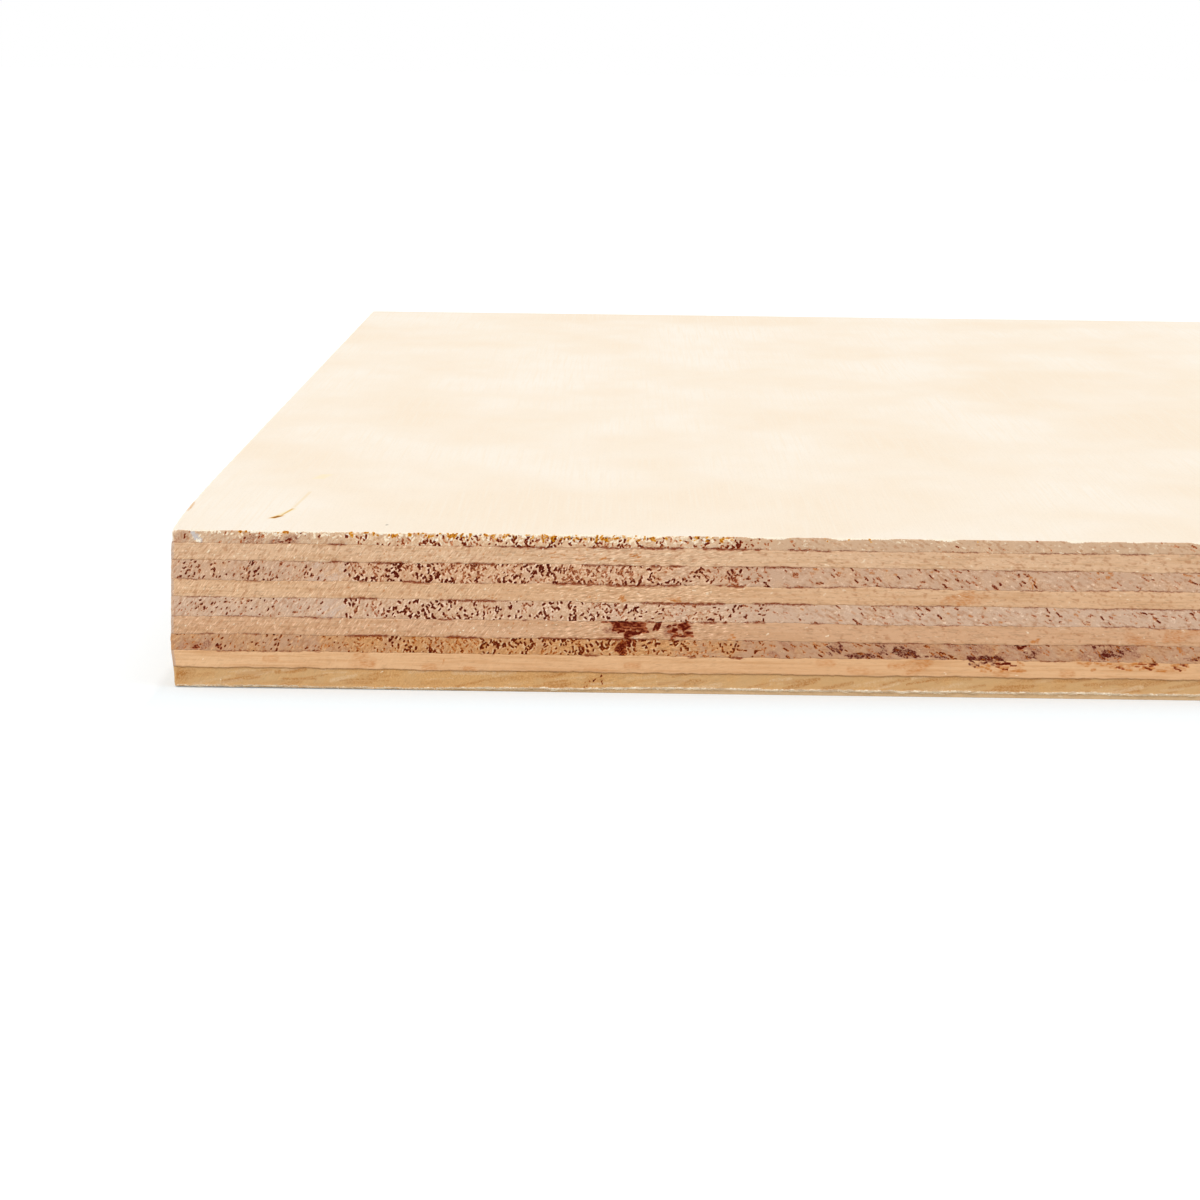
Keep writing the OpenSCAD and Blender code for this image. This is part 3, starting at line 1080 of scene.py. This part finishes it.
def grain_place(tree, grain, across, along, seed):
    """Object coordinates counted in cells of the given size, in millimetres, across and along the
    grain. The seed shifts them, so that no two plies share a pattern."""
    size = [across, along, across] if grain == "Y" else [along, across, across]
    inputs = {"Vector": object_place(tree), "Location": (seed * 1.7, seed * 2.3, seed * 3.1),
              "Scale": [1 / (edge * MM) for edge in size]}
    return add_node(tree, "ShaderNodeMapping", inputs).outputs[0]


def grain_noise(tree, grain, across, along, seed, detail=3.0):
    """Noise with cells of the given size across and along the grain."""
    inputs = {"Vector": grain_place(tree, grain, across, along, seed), "Scale": 1.0,
              "Detail": detail, "Roughness": 0.55}
    return add_node(tree, "ShaderNodeTexNoise", inputs).outputs["Fac"]


def kept_mark(tree, name):
    """The value of a mark that was kept on the mesh."""
    return add_node(tree, "ShaderNodeAttribute", attribute_name=name).outputs["Fac"]


def cut_across(tree, grain):
    """1 where the surface is cut across the grain and 0 where it lies along it."""
    direction = add_node(tree, "ShaderNodeNewGeometry").outputs["Normal"]
    return between(tree, calculate(tree, "ABSOLUTE", axes(tree, direction)[grain]), *CUT_LIMITS)


readable = [mark for mark in MARKS if mark in plies["face_ply"].data.attributes]
print("marks that a material can read:", readable)

# %% [markdown]
# Every mark has a look: a tint, and how strongly it covers the wood. Pores, stains and gold fibres have
# two looks, a warm rim and a dark middle, and the second is laid over the first where the mark is
# strongest. A few plies have tints of their own.

# %% Looks of the marks
# Mark, tint, the strengths between which it fades in, and how much of the wood it covers
MARK_LOOKS = [
    # painted shade in the saw's hollows
    ("shade", paint(164, 102, 58), 0.0, 1.0, 0.45),
    ("rust", paint(186, 104, 16), 0.0, 1.0, 0.76),
    ("plum", paint(164, 106, 80), 0.0, 0.6, 0.65),
    ("plum", paint(84, 10, 2), 0.35, 0.9, 0.96),
    ("smear_and_painted_light", paint(196, 192, 192), 0.1, 0.8, 0.85),
    ("glue", paint(132, 48, 6), 0.1, 0.9, 0.90),
    # pale fibre ends, and painted highlights on the saw's crests and beside the pores
    ("fleck_and_highlight", paint(254, 236, 206), 0.1, 0.8, 0.84),
    ("pore", paint(176, 86, 20), 0.10, 0.40, 0.82),
    ("pore", paint(82, 8, 0), 0.28, 0.62, 0.97),
    ("stain", paint(158, 68, 22), 0.05, 0.40, 0.85),
    ("stain", paint(84, 8, 0), 0.30, 0.75, 0.96),
    ("bare", paint(252, 240, 218), 0.25, 0.75, 0.92),
    ("gold", paint(216, 146, 18), 0.12, 0.45, 0.95),
    ("gold", paint(150, 62, 0), 0.55, 0.95, 0.88),
]
# Tints that differ on one ply, in the order of the marks' looks
OWN_TINTS = {("long_ply_7", "pore"): (paint(186, 98, 12), paint(94, 20, 0)),
             ("long_ply_7", "fleck_and_highlight"): (paint(228, 192, 150),),
             ("face_ply", "pore"): (paint(192, 96, 20), paint(98, 14, 0)),
             ("long_ply_3", "fleck_and_highlight"): (paint(255, 220, 190),),
             ("centre_ply_5", "fleck_and_highlight"): (paint(254, 222, 194),),
             ("long_ply_3", "smear_and_painted_light"): (paint(206, 180, 162),),
             ("centre_ply_5", "smear_and_painted_light"): (paint(210, 186, 170),),
             ("back_ply", "rust"): (paint(166, 100, 32),),
             # On the back ply this tint gives its pale streaks, and the painted light below the torn ridge.
             ("back_ply", "smear_and_painted_light"): (paint(220, 186, 146),)}
print(len(MARK_LOOKS), "looks of marks, and", len(OWN_TINTS), "that differ on one ply")

# %% [markdown]
# Each veneer has a few tones: light and dark along the grain and its streaks, then light, dark and
# greyed where it is cut across. Slow noise mixes the figure, and quick noise draws the fibres. The end
# grain is greyer near the corner and far from it than on the coarse stretch in between.

# %% The bare veneer
TICKS = {"face_ply": 0.12, "cross_ply_8": 0.25}      # how far short dark fibres show along the grain
OTHER_TICKS = 0.5
# How much more greyed the end grain is near the corner, in the middle and beyond, and where that changes
GREYED = (0.22, -0.04, 0.26)
GREY_STEPS = ((12, 32), (50, 72))
HALFWAY = (0.3, 0.7)     # a noise between these limits blends evenly


def by_stretch(tree, values, steps):
    """One of three values by the place along the near end, blended over two steps between them."""
    along = axes(tree, object_place(tree))["X"]
    mixed = values[0]
    for value, step in zip(values[1:], steps):
        start, end = [float(edge - half_width) * MM for edge in step]
        mixed = blend_values(tree, between(tree, along, start, end), mixed, value)
    return mixed


def veneer_colour(tree, name, tones, seed):
    """Colour of a bare veneer, before its marks: figure and fibres, along or across the grain."""
    grain = GRAIN[name]
    wide, streak_run = (26.0, 45.0) if name == "face_ply" else (9.0, 9.0)
    figure = between(tree, grain_noise(tree, grain, wide, 90.0, seed), *HALFWAY)
    fibres = grain_noise(tree, grain, 0.35, streak_run, seed + 3)
    mottle = between(tree, grain_noise(tree, grain, 0.2, 4.0, seed + 5), *HALFWAY)
    patch = grain_noise(tree, grain, 3.0, 30.0, seed + 7)
    along = blend(tree, figure, tones["long_light"], tones["long_dark"])
    along = blend(tree, between(tree, fibres, 0.42, 0.75), along, tones["streak"])
    ticks = between(tree, grain_noise(tree, grain, 0.16, 1.1, seed + 9), 0.52, 0.70)
    along = blend(tree, times(tree, ticks, TICKS.get(name, OTHER_TICKS)), along, tones["tick"])
    across = blend(tree, mottle, tones["end_light"], tones["end_dark"])
    greyed = calculate(tree, "ADD", patch, by_stretch(tree, GREYED, GREY_STEPS))
    across = blend(tree, between(tree, greyed, 0.42, 0.83), across, tones["end_grey"])
    return blend(tree, cut_across(tree, grain), along, across), fibres, mottle


print("end grain greyed by", GREYED, "with steps at", GREY_STEPS, "mm")

# %% [markdown]
# The saw's finest ridges lie closer together than the points of the mesh. More points would make the
# mesh too heavy, so their light is painted instead: a painted highlight on their crests and painted
# shade in the hollows, with the same three slants, changing at the same places, as the saw marks of the
# mesh.

# %% Fine ridges
# How strongly the painted highlight and the painted shade of the saw's finest ridges show on each ply
RIDGE_LIGHT = {"face_ply": (0.40, 0.30), "cross_ply_2": (0.68, 0.45), "long_ply_3": (0.55, 0.30),
          "cross_ply_4": (0.80, 0.55), "centre_ply_5": (0.60, 0.25), "cross_ply_6": (0.80, 0.55),
          "long_ply_7": (0.60, 0.40), "cross_ply_8": (0.12, 0.15), "back_ply": (0.20, 0.25)}
RIDGE_CELL = (0.80, 5.0, 0.135)      # along the slant, into the wood and across the slant
RIDGE_GAINS = (1.15, 1.6, 0.66)      # how strongly they show near the corner, in the middle and beyond
# Limits of the ridge noise for the painted shade in the hollows and the painted highlight on the crests
HOLLOW_SHADE_LIMITS = (0.30, 0.42)
CREST_HIGHLIGHT_LIMITS = (0.58, 0.70)


def fine_ridges(tree, seed):
    """The saw's finest ridges: noise drawn out along each of the three slants, blended along the edge
    as the saw marks of the mesh are."""
    shift = (seed * 0.013, 0, seed * 0.007)
    ridges = []
    for slant, gain in zip(SAW_SLANTS, RIDGE_GAINS):
        turn = (0, -math.radians(slant), 0)
        cells = framed_place(tree, shift, turn, [edge * MM for edge in RIDGE_CELL])
        noise = add_node(tree, "ShaderNodeTexNoise", {"Vector": cells, "Scale": 1.0, "Detail": 2.0})
        ridges.append(calculate(tree, "MULTIPLY_ADD", noise.outputs["Fac"], gain, 0.5 - 0.5 * gain))
    return by_stretch(tree, ridges, SAW_STEPS)


def paint_ridge_light(tree, colour, name, ridges, dark, pale):
    """Paints light into a colour with the fine ridges: a painted highlight on their crests and painted
    shade between them, on the shown stretch of the near end only."""
    near = times(tree, opposite(tree, kept_mark(tree, "plain")), cut_across(tree, "Y"))
    highlight_share, shade_share = [times(tree, near, share) for share in RIDGE_LIGHT[name]]
    hollow_shade = opposite(tree, between(tree, ridges, *HOLLOW_SHADE_LIMITS))
    colour = blend(tree, times(tree, hollow_shade, shade_share), colour, dark)
    return blend(tree, times(tree, between(tree, ridges, *CREST_HIGHLIGHT_LIMITS), highlight_share), colour, pale)


print("ridges every", RIDGE_CELL[2], "mm, at slants of", SAW_SLANTS, "degrees")

# %% [markdown]
# Over the wood the marks are laid one by one. A stroke with a clean rim would look printed, so a fine
# grit breaks up its strength. Away from the shown stretch there are too many pores for a mesh, and a
# cell pattern, drawn out along the grain, stands for them.

# %% Lay the marks over the wood
GRIT = (0.55, 1.45)     # how far the grit weakens and strengthens a mark
GRIT_SEED = 17
PORE_CELL = 0.6
PORE_RUN = 14.0
FAR_PORE_RIM = (0.16, 0.36)
FAR_PORE_SHARE = 0.6


def far_pores(tree, grain):
    """Pores beyond the shown stretch: cells drawn out along the grain, dark round their middle."""
    place = grain_place(tree, grain, PORE_CELL, PORE_RUN, 0)
    cells = add_node(tree, "ShaderNodeTexVoronoi", {"Vector": place, "Scale": 1.0})
    pores = opposite(tree, between(tree, cells.outputs["Distance"], *FAR_PORE_RIM))
    pores = times(tree, times(tree, pores, kept_mark(tree, "plain")), cut_across(tree, grain))
    return times(tree, pores, FAR_PORE_SHARE)


def lay_marks(tree, colour, name):
    """Lays the marks over a colour, one after another. A fine grit, drawn out along the grain, breaks
    up their strength, so that they are ragged and uneven like torn fibres."""
    run = 0.16 if GRAIN[name] == "Y" else 0.5
    grit = between(tree, grain_noise(tree, "X", 0.15, run, GRIT_SEED, detail=2.0), 0.32, 0.68)
    grit = calculate(tree, "MULTIPLY_ADD", grit, GRIT[1] - GRIT[0], GRIT[0])
    used = []
    for mark, tint, low, high, amount in MARK_LOOKS:
        tint = OWN_TINTS.get((name, mark), [tint] * 2)[used.count(mark)]
        used.append(mark)
        strength = times(tree, kept_mark(tree, mark), grit)
        if mark == "pore":
            strength = calculate(tree, "MAXIMUM", strength, far_pores(tree, GRAIN[name]))
        colour = blend(tree, times(tree, between(tree, strength, low, high), amount), colour, tint)
    return colour


print("grit changes a mark's strength by", GRIT, "times")

# %% [markdown]
# A short crack in the face runs out along the grain into a hairline. It could be cut into the mesh, but
# it is finer than the face's points, so it is drawn in the material. Each line is a box that a Mapping
# node turns and shrinks to one unit, and a smooth step fades it out at its sides and ends.

# %% Splits in the face
# Start and end from the corner, half width, tint and strength: a crack that runs out into a hairline
SPLITS = [
    ((10.2, 18.6), (12.3, 37.0), 0.50, paint(250, 222, 130), 0.34),
    ((10.3, 19.4), (11.3, 24.8), 0.62, paint(222, 156, 0), 0.95),
    ((10.45, 20.2), (11.2, 23.8), 0.44, paint(150, 90, 0), 1.0),
    ((11.2, 23.6), (12.1, 37.4), 0.22, paint(220, 168, 48), 0.70),
    ((12.0, 36.0), (12.7, 68.0), 0.30, paint(244, 220, 176), 0.50),
    ((12.4, 90.0), (13.3, 100.0), 1.1, paint(252, 234, 186), 0.45),
    ((24.0, 11.0), (24.2, 12.2), 0.20, paint(84, 72, 58), 0.85),
]
END_FADE = (0.75, 1.0)
SIDE_FADE = (0.3, 1.0)


def near_line(tree, start, end, half):
    """1 close to a line on the face and 0 further than its half width away. A Mapping node turns and
    scales the place so that the line runs from -1 to 1 along X and its width from -1 to 1 along Y."""
    corner = np.array([CORNER_LOST - half_width, -half_length])
    run = np.subtract(end, start)
    middle = (corner + np.add(start, end) / 2) * MM
    size = (float(np.hypot(*run)) / 2 * MM, half * MM, 1)
    parts = axes(tree, framed_place(tree, (*middle.tolist(), 0), (0, 0, math.atan2(run[1], run[0])), size))
    past_end = between(tree, calculate(tree, "ABSOLUTE", parts["X"]), *END_FADE)
    beside = between(tree, calculate(tree, "ABSOLUTE", parts["Y"]), *SIDE_FADE)
    return opposite(tree, calculate(tree, "MAXIMUM", past_end, beside))


def lay_splits(tree, colour):
    """Lays the splits over the face's colour."""
    for start, end, half, tint, amount in SPLITS:
        colour = blend(tree, times(tree, near_line(tree, start, end, half), amount), colour, tint)
    return colour


print("the splits are drawn with", len(SPLITS), "lines")

# %% [markdown]
# The nine veneers differ in their tones: the face is pale and even, the plies under it are tan, and the
# seventh is the darkest. Six tones are given for each of them.

# %% Tones of the veneers
# Tones: along the grain light and dark, fibre streaks, then end grain light, dark and greyed
TONES = {
    "face_ply": ((254, 244, 229), (251, 234, 211), (252, 238, 218),
                 (231, 194, 158), (205, 163, 125), (206, 170, 138)),
    "cross_ply_2": ((223, 184, 148), (216, 175, 139), (206, 163, 124),
                    (208, 172, 143), (186, 146, 116), (204, 176, 154)),
    "long_ply_3": ((216, 176, 138), (207, 165, 126), (200, 156, 117),
                   (227, 185, 149), (198, 151, 113), (202, 165, 137)),
    "cross_ply_4": ((222, 181, 143), (214, 170, 131), (205, 159, 118),
                    (206, 170, 141), (184, 144, 114), (202, 174, 152)),
    "centre_ply_5": ((216, 178, 142), (208, 168, 130), (200, 158, 120),
                     (223, 186, 154), (197, 155, 120), (206, 172, 146)),
    "cross_ply_6": ((219, 176, 140), (210, 165, 128), (200, 154, 115),
                    (204, 166, 136), (184, 142, 112), (200, 170, 148)),
    "long_ply_7": ((210, 164, 120), (200, 151, 106), (192, 142, 96),
                   (213, 159, 108), (187, 132, 82), (192, 150, 119)),
    "cross_ply_8": ((228, 184, 140), (220, 172, 127), (206, 155, 108),
                    (204, 162, 126), (184, 138, 102), (200, 166, 140)),
    "back_ply": ((224, 190, 146), (214, 176, 130), (204, 164, 117),
                 (216, 170, 115), (200, 151, 96), (206, 165, 116)),
}
print("tones for", len(TONES), "veneers")

# %% [markdown]
# All nine share one recipe. Sawn wood is matt, so the shader reflects very little, and a faint bump
# from the fibres lets the light catch on them.

# %% Give each ply its veneer
WOOD_GLOSS = 0.04
WOOD_ROUGH = (0.65, 0.88)
BUMP_DEPTH = 0.05


def veneer_material(name, seed, tones):
    """Material of one ply: its colour from the tones and marks, and a fine bump from the fibres."""
    material, tree, shader = new_material(f"{name}_wood")
    colour, fibres, mottle = veneer_colour(tree, name, tones, seed)
    if name == "face_ply":
        colour = lay_splits(tree, colour)
    ridges = fine_ridges(tree, seed)
    # The fine ridges get a painted highlight on their crests and painted shade in their hollows.
    colour = paint_ridge_light(tree, colour, name, ridges, tones["tick"], tones["crest"])
    colour = lay_marks(tree, colour, name)
    height = blend_values(tree, cut_across(tree, GRAIN[name]), fibres, mottle)
    bump = {"Height": height, "Strength": 0.5, "Distance": BUMP_DEPTH * MM}
    rough = {"Value": fibres, "To Min": WOOD_ROUGH[0], "To Max": WOOD_ROUGH[1]}
    connect(tree, shader, {"Base Color": colour, "Specular IOR Level": WOOD_GLOSS,
                           "Roughness": add_node(tree, "ShaderNodeMapRange", rough).outputs[0],
                           "Normal": add_node(tree, "ShaderNodeBump", bump).outputs[0]})
    return material


# The crest tone is a painted highlight on the fine ridges.
CREST_HIGHLIGHT_GAIN = (1.14, 1.16, 1.20)     # how much paler than the wood the crests of the ridges are
# The tick tone is also the painted shade in the fine ridges' hollows.
TICK_AND_SHADE_GAIN = 0.80                    # how much darker than the streaks the short dark fibres are
TONE_NAMES = ["long_light", "long_dark", "streak", "end_light", "end_dark", "end_grey"]
for number, name in enumerate(PLIES):
    tones = {key: paint(*tone) for key, tone in zip(TONE_NAMES, TONES[name])}
    tones["tick"] = paint(*(TICK_AND_SHADE_GAIN * np.array(TONES[name][2])))
    crest = np.array(CREST_HIGHLIGHT_GAIN) * TONES[name][3 * (GRAIN[name] == "Y")]
    tones["crest"] = paint(*crest.clip(0, 255))
    material = veneer_material(name, number + 1, tones)
    plies[name].data.materials.append(material)
    print(material.name, "has", len(material.node_tree.nodes), "nodes")

# %% [markdown]
# The loose fibres are fresh wood that no blade has rubbed, so they are paler than the ply that they hang
# on. They are too thin to show a figure, and two tones with a little noise between them are enough.

# %% The fibres' material
fibre_material, tree, shader = new_material("loose_fibre")
fibre_shade = between(tree, grain_noise(tree, "X", 0.5, 2.0, 5), 0.3, 0.7)
fibre_colour = blend(tree, fibre_shade, paint(250, 236, 210), paint(226, 196, 156))
connect(tree, shader, {"Base Color": fibre_colour, "Roughness": 0.85, "Specular IOR Level": 0.2})
fibre_mesh.materials.append(fibre_material)
print("fibres:", len(fibre_grid))

# %% [markdown]
# The sheet lies on a white table that is lit a little too brightly, as in a shop's picture: only the
# floor within a few centimetres of the sheet is dark enough to show its shadow. A white floor seen by
# the camera may be brighter than white paint would be, which the Light Path node allows: the extra
# glow is for the eye only and lights nothing. It grows with the distance from the sheet, so that the
# floor close to the sheet is darker: a painted shadow, laid over the real one.

# %% The floor
WHITE = (1, 1, 1, 1)
FLOOR_HALF = 12.0
FLOOR_TINT = (0.71, 0.76, 0.78, 1)      # cool, against the warm light that the wood throws on it
# Less glow close to the sheet leaves a painted shadow there
CONTACT_GLOW = 0.25
FULL_GLOW = 0.34
GLOW_RUN = 60.0         # distance from the sheet, in millimetres, at which the glow is full
# Beside the sheet the painted shadow is narrower
SIDE_HASTE = 40.0       # how much sooner that is beside the sheet, where the light comes from


def seen_directly(tree):
    """1 for rays from the camera, also by way of a reflection or a clear material, and 0 for light."""
    path = add_node(tree, "ShaderNodeLightPath")
    mirrored = calculate(tree, "MAXIMUM", path.outputs["Is Glossy Ray"], path.outputs["Is Transmission Ray"])
    return calculate(tree, "MAXIMUM", path.outputs["Is Camera Ray"], mirrored)


def away_from_sheet(tree):
    """Distance outside the sheet's rectangle: the larger of |x| - half width, which counts many times
    over, and |y| - half length."""
    parts = axes(tree, object_place(tree))
    beyond = [calculate(tree, "SUBTRACT", calculate(tree, "ABSOLUTE", parts[axis]), float(half * MM))
              for axis, half in (("X", half_width), ("Y", half_length))]
    return calculate(tree, "MAXIMUM", times(tree, beyond[0], SIDE_HASTE), beyond[1])


floor_mesh = bpy.data.meshes.new("floor")
floor_corners = [(x * FLOOR_HALF, y * FLOOR_HALF, 0) for x, y in ((-1, -1), (1, -1), (1, 1), (-1, 1))]
floor_mesh.from_pydata(floor_corners, [], [(0, 1, 2, 3)])
floor = add_object("floor", floor_mesh)
floor_paint, tree, matt = new_material("white_floor")
away = between(tree, away_from_sheet(tree), 0.0, GLOW_RUN * MM)
glow = calculate(tree, "MULTIPLY_ADD", away, FULL_GLOW - CONTACT_GLOW, CONTACT_GLOW)
connect(tree, matt, {"Base Color": FLOOR_TINT, "Roughness": 0.9, "Specular IOR Level": 0.0,
                     "Emission Color": WHITE, "Emission Strength": times(tree, seen_directly(tree), glow)})
floor_mesh.materials.append(floor_paint)
print("floor of", floor.dimensions[:], "metres")

# %% [markdown]
# The room is plain white light from all round. The camera sees it as pure white, and the sheet gets a
# little less of it, so that the pale face keeps its tone.

# %% The room
SKY_LIGHT = 0.80
world = bpy.data.worlds.new("white_room")
bpy.context.scene.world = world
world.use_nodes = True
tree = world.node_tree
sky_strength = add_node(tree, "ShaderNodeMapRange", {"Value": seen_directly(tree), "To Min": SKY_LIGHT})
connect(tree, tree.nodes["Background"], {"Color": WHITE, "Strength": sky_strength.outputs[0]})
print("a room of light", SKY_LIGHT)

# %% [markdown]
# Light from all round would leave the edge without shape. One soft lamp, above and in front on the
# left, shades the grooves and pits, and the ledge under the eighth ply. It is a sun, so the whole sheet
# gets the same light. A white surface that faces a sun of strength pi is exactly white.

# %% The lamp
LAMP_FROM = (-1.8, -3.1, 2.5)
LAMP_SOFT = 28.0        # how wide the lamp looks from the sheet, in degrees
LAMP_SHARE = 0.39

lamp_data = bpy.data.lights.new("soft_lamp", "SUN")
lamp_data.angle = math.radians(LAMP_SOFT)
lamp_data.energy = LAMP_SHARE * math.pi
lamp = add_object("soft_lamp", lamp_data)
lamp.location = LAMP_FROM
across, along, up = LAMP_FROM
lean = math.atan2(math.hypot(across, along), up)
lamp.rotation_euler = (lean, 0, math.atan2(-along, -across) - math.pi / 2)
print(f"lamp of strength {lamp_data.energy:.2f}")

# %% [markdown]
# The camera stands low, about three quarters of a metre in front of the sheet and five centimetres to
# the right of its corner, with a long lens, and leans a little to one side. These values put the
# corner, the glue lines and the far end where they are seen in the picture.

# %% The camera
CAMERA_FROM_CORNER = (52.6, -761.3, 74.4)     # across, along and up from the corner at the floor
CAMERA_DOWN = 4.79
CAMERA_LEFT = 0.23
CAMERA_ROLL = 0.73
CAMERA_LENS = 201.7

camera_data = bpy.data.cameras.new("camera")
camera_data.lens = CAMERA_LENS
camera_data.sensor_width = 36
camera = add_object("camera", camera_data)
corner = np.array([-half_width, -half_length, 0])
stand = Matrix.Translation(((corner + CAMERA_FROM_CORNER) * MM).tolist())
turn_left = Matrix.Rotation(math.radians(CAMERA_LEFT), 4, "Z")
tip = Matrix.Rotation(math.radians(90 - CAMERA_DOWN), 4, "X")
roll = Matrix.Rotation(math.radians(CAMERA_ROLL), 4, "Z")
camera.matrix_world = stand @ turn_left @ tip @ roll
bpy.context.scene.camera = camera
bpy.context.scene.view_settings.view_transform = "Standard"
print("camera at", [round(v, 3) for v in camera.matrix_world.translation])
